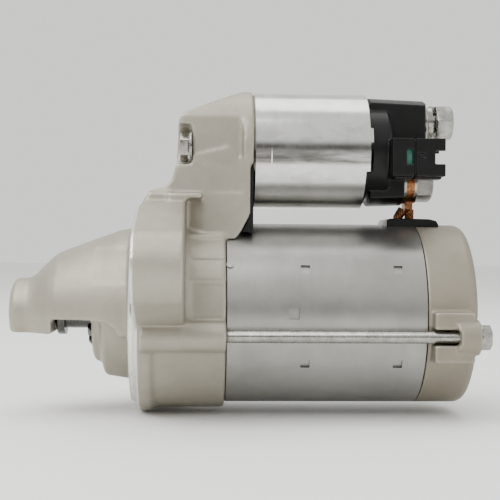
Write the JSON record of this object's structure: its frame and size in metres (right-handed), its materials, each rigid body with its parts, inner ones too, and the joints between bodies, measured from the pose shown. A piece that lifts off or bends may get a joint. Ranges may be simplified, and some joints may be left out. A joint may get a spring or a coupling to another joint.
{
  "type": "starter motor",
  "caption": "Electric starter motor with a reduction gear: open nose over the pinion, flange with mounting ears, smooth yoke, and a solenoid with threaded terminals on top.",
  "frame": {"origin": "on the armature axis, in the mounting face of the flange", "axes": "+X along the armature axis from the pinion end to the rear cover, +Z from the armature axis to the solenoid, +Y completes the right hand; the pictured side faces -Y"},
  "size_m": [0.1804, 0.1372, 0.1256],
  "materials": {
    "cast_aluminium": "satin, as cast",
    "machined_bush": "sintered bronze",
    "yoke_steel": "satin plated",
    "ferrite": "dull dark grey",
    "gear_steel": "machined",
    "plated_steel": "bright zinc",
    "gear_plastic": "glass-filled",
    "black_plastic": "moulded, satin",
    "black_rubber": "matt",
    "green_rubber": "matt",
    "copper": "bare",
    "winding": "enamelled wire",
    "carbon": "copper-graphite",
    "spring_steel": "bare wire",
    "laminations": "stacked sheet"
  },
  "bodies": {
    "case": {"drive_housing": "cast_aluminium", "nose_bush": "machined_bush", "case_seals": "black_rubber", "yoke": "yoke_steel", "magnets": "ferrite", "ring_gear": "gear_plastic", "center_bracket": "cast_aluminium", "center_bush": "machined_bush", "armature_plate": "gear_steel", "rear_cover": "cast_aluminium", "rear_bush": "machined_bush", "through_bolts": "plated_steel", "brush_holder": "gear_plastic", "brush_springs": "spring_steel", "lead_grommet": "black_rubber", "motor_lead": "copper", "lead_lug": "copper", "lever_plug": "black_rubber", "lever_pin": "gear_steel", "solenoid_case": "plated_steel", "solenoid_core": "gear_steel", "coil_bobbin": "gear_plastic", "solenoid_coils": "winding", "solenoid_cap": "black_plastic", "socket_blade": "copper", "socket_seal": "green_rubber", "battery_stud": "plated_steel", "motor_stud": "plated_steel", "battery_nut": "plated_steel", "battery_lock_washer": "plated_steel", "battery_washer": "plated_steel", "motor_nut": "plated_steel", "motor_washers": "plated_steel", "solenoid_screws": "plated_steel", "plunger_spring": "spring_steel", "contact_spring": "spring_steel"},
    "armature": {"armature_shaft": "gear_steel", "armature_core": "laminations", "armature_winding": "winding", "commutator": "copper"},
    "output": {"drive_shaft": "gear_steel", "planet_pins": "gear_steel", "stop_collar": "gear_steel", "snap_ring": "spring_steel"},
    "planet_1": {"planet_gear_1": "gear_steel"},
    "planet_2": {"planet_gear_2": "gear_steel"},
    "planet_3": {"planet_gear_3": "gear_steel"},
    "clutch": {"clutch_outer": "gear_steel", "clutch_cover": "plated_steel", "clutch_rollers": "gear_steel", "roller_springs": "spring_steel", "shift_collar": "gear_steel"},
    "pinion_body": {"pinion": "gear_steel"},
    "lever": {"shift_lever": "gear_plastic"},
    "plunger_body": {"plunger": "gear_steel"},
    "contact": {"contact_plate": "copper"},
    "brush_a": {"brush_1": "carbon"},
    "brush_b": {"brush_2": "carbon"},
    "brush_c": {"brush_3": "carbon"},
    "brush_d": {"brush_4": "carbon"}
  },
  "joints": [
    {"name": "armature_spin", "type": "hinge", "parent": "case", "child": "armature", "pos_m": [0.06, 0, 0], "axis": [1, 0, 0], "continuous": true},
    {"name": "output_spin", "type": "hinge", "parent": "case", "child": "output", "pos_m": [0.02, 0, 0], "axis": [1, 0, 0], "continuous": true},
    {"name": "planet_1_spin", "type": "hinge", "parent": "output", "child": "planet_1", "pos_m": [0.0335, 0.01688, 0], "axis": [1, 0, 0], "continuous": true},
    {"name": "planet_2_spin", "type": "hinge", "parent": "output", "child": "planet_2", "pos_m": [0.0335, -0.00844, 0.01461], "axis": [1, 0, 0], "continuous": true},
    {"name": "planet_3_spin", "type": "hinge", "parent": "output", "child": "planet_3", "pos_m": [0.0335, -0.00844, -0.01461], "axis": [1, 0, 0], "continuous": true},
    {"name": "plunger_slide", "type": "slide", "parent": "case", "child": "plunger_body", "axis": [1, 0, 0], "range_m": [0, 0.0067], "stiffness_N_per_m": 1500, "springref_m": -0.01, "deforming": ["plunger_spring"]},
    {"name": "lever_swing", "type": "hinge", "parent": "case", "child": "lever", "pos_m": [0.0151, 0, 0.0365], "axis": [0, 1, 0], "range_deg": [0, 14.28]},
    {"name": "clutch_slide", "type": "slide", "parent": "output", "child": "clutch", "axis": [-1, 0, 0], "range_m": [0, 0.009]},
    {"name": "pinion_freewheel", "type": "hinge", "parent": "clutch", "child": "pinion_body", "pos_m": [-0.012, 0, 0], "axis": [1, 0, 0], "continuous": true},
    {"name": "contact_slide", "type": "slide", "parent": "case", "child": "contact", "axis": [1, 0, 0], "range_m": [0, 0.00255], "deforming": ["contact_spring"]},
    {"name": "brush_1_slide", "type": "slide", "parent": "case", "child": "brush_a", "axis": [0, 0.7071, 0.7071], "range_m": [0, 0.0011], "stiffness_N_per_m": 1500, "springref_m": -0.006, "deforming": ["brush_springs"]},
    {"name": "brush_2_slide", "type": "slide", "parent": "case", "child": "brush_b", "axis": [0, -0.7071, 0.7071], "range_m": [0, 0.0011], "stiffness_N_per_m": 1500, "springref_m": -0.006, "deforming": ["brush_springs"]},
    {"name": "brush_3_slide", "type": "slide", "parent": "case", "child": "brush_c", "axis": [0, -0.7071, -0.7071], "range_m": [0, 0.0011], "stiffness_N_per_m": 1500, "springref_m": -0.006, "deforming": ["brush_springs"]},
    {"name": "brush_4_slide", "type": "slide", "parent": "case", "child": "brush_d", "axis": [0, 0.7071, -0.7071], "range_m": [0, 0.0011], "stiffness_N_per_m": 1500, "springref_m": -0.006, "deforming": ["brush_springs"]}
  ],
  "couplings": [
    {"joint": "output_spin", "follows": "armature_spin", "ratio": 0.2037},
    {"joint": "planet_1_spin", "follows": "armature_spin", "ratio": -0.54745},
    {"joint": "planet_2_spin", "follows": "armature_spin", "ratio": -0.54745},
    {"joint": "planet_3_spin", "follows": "armature_spin", "ratio": -0.54745},
    {"joint": "lever_swing", "follows": "plunger_slide", "rad_per_m": 37.185},
    {"joint": "clutch_slide", "follows": "plunger_slide", "ratio": 1.3433},
    {"joint": "contact_slide", "follows": "plunger_slide", "ratio": 0.38059}
  ]
}
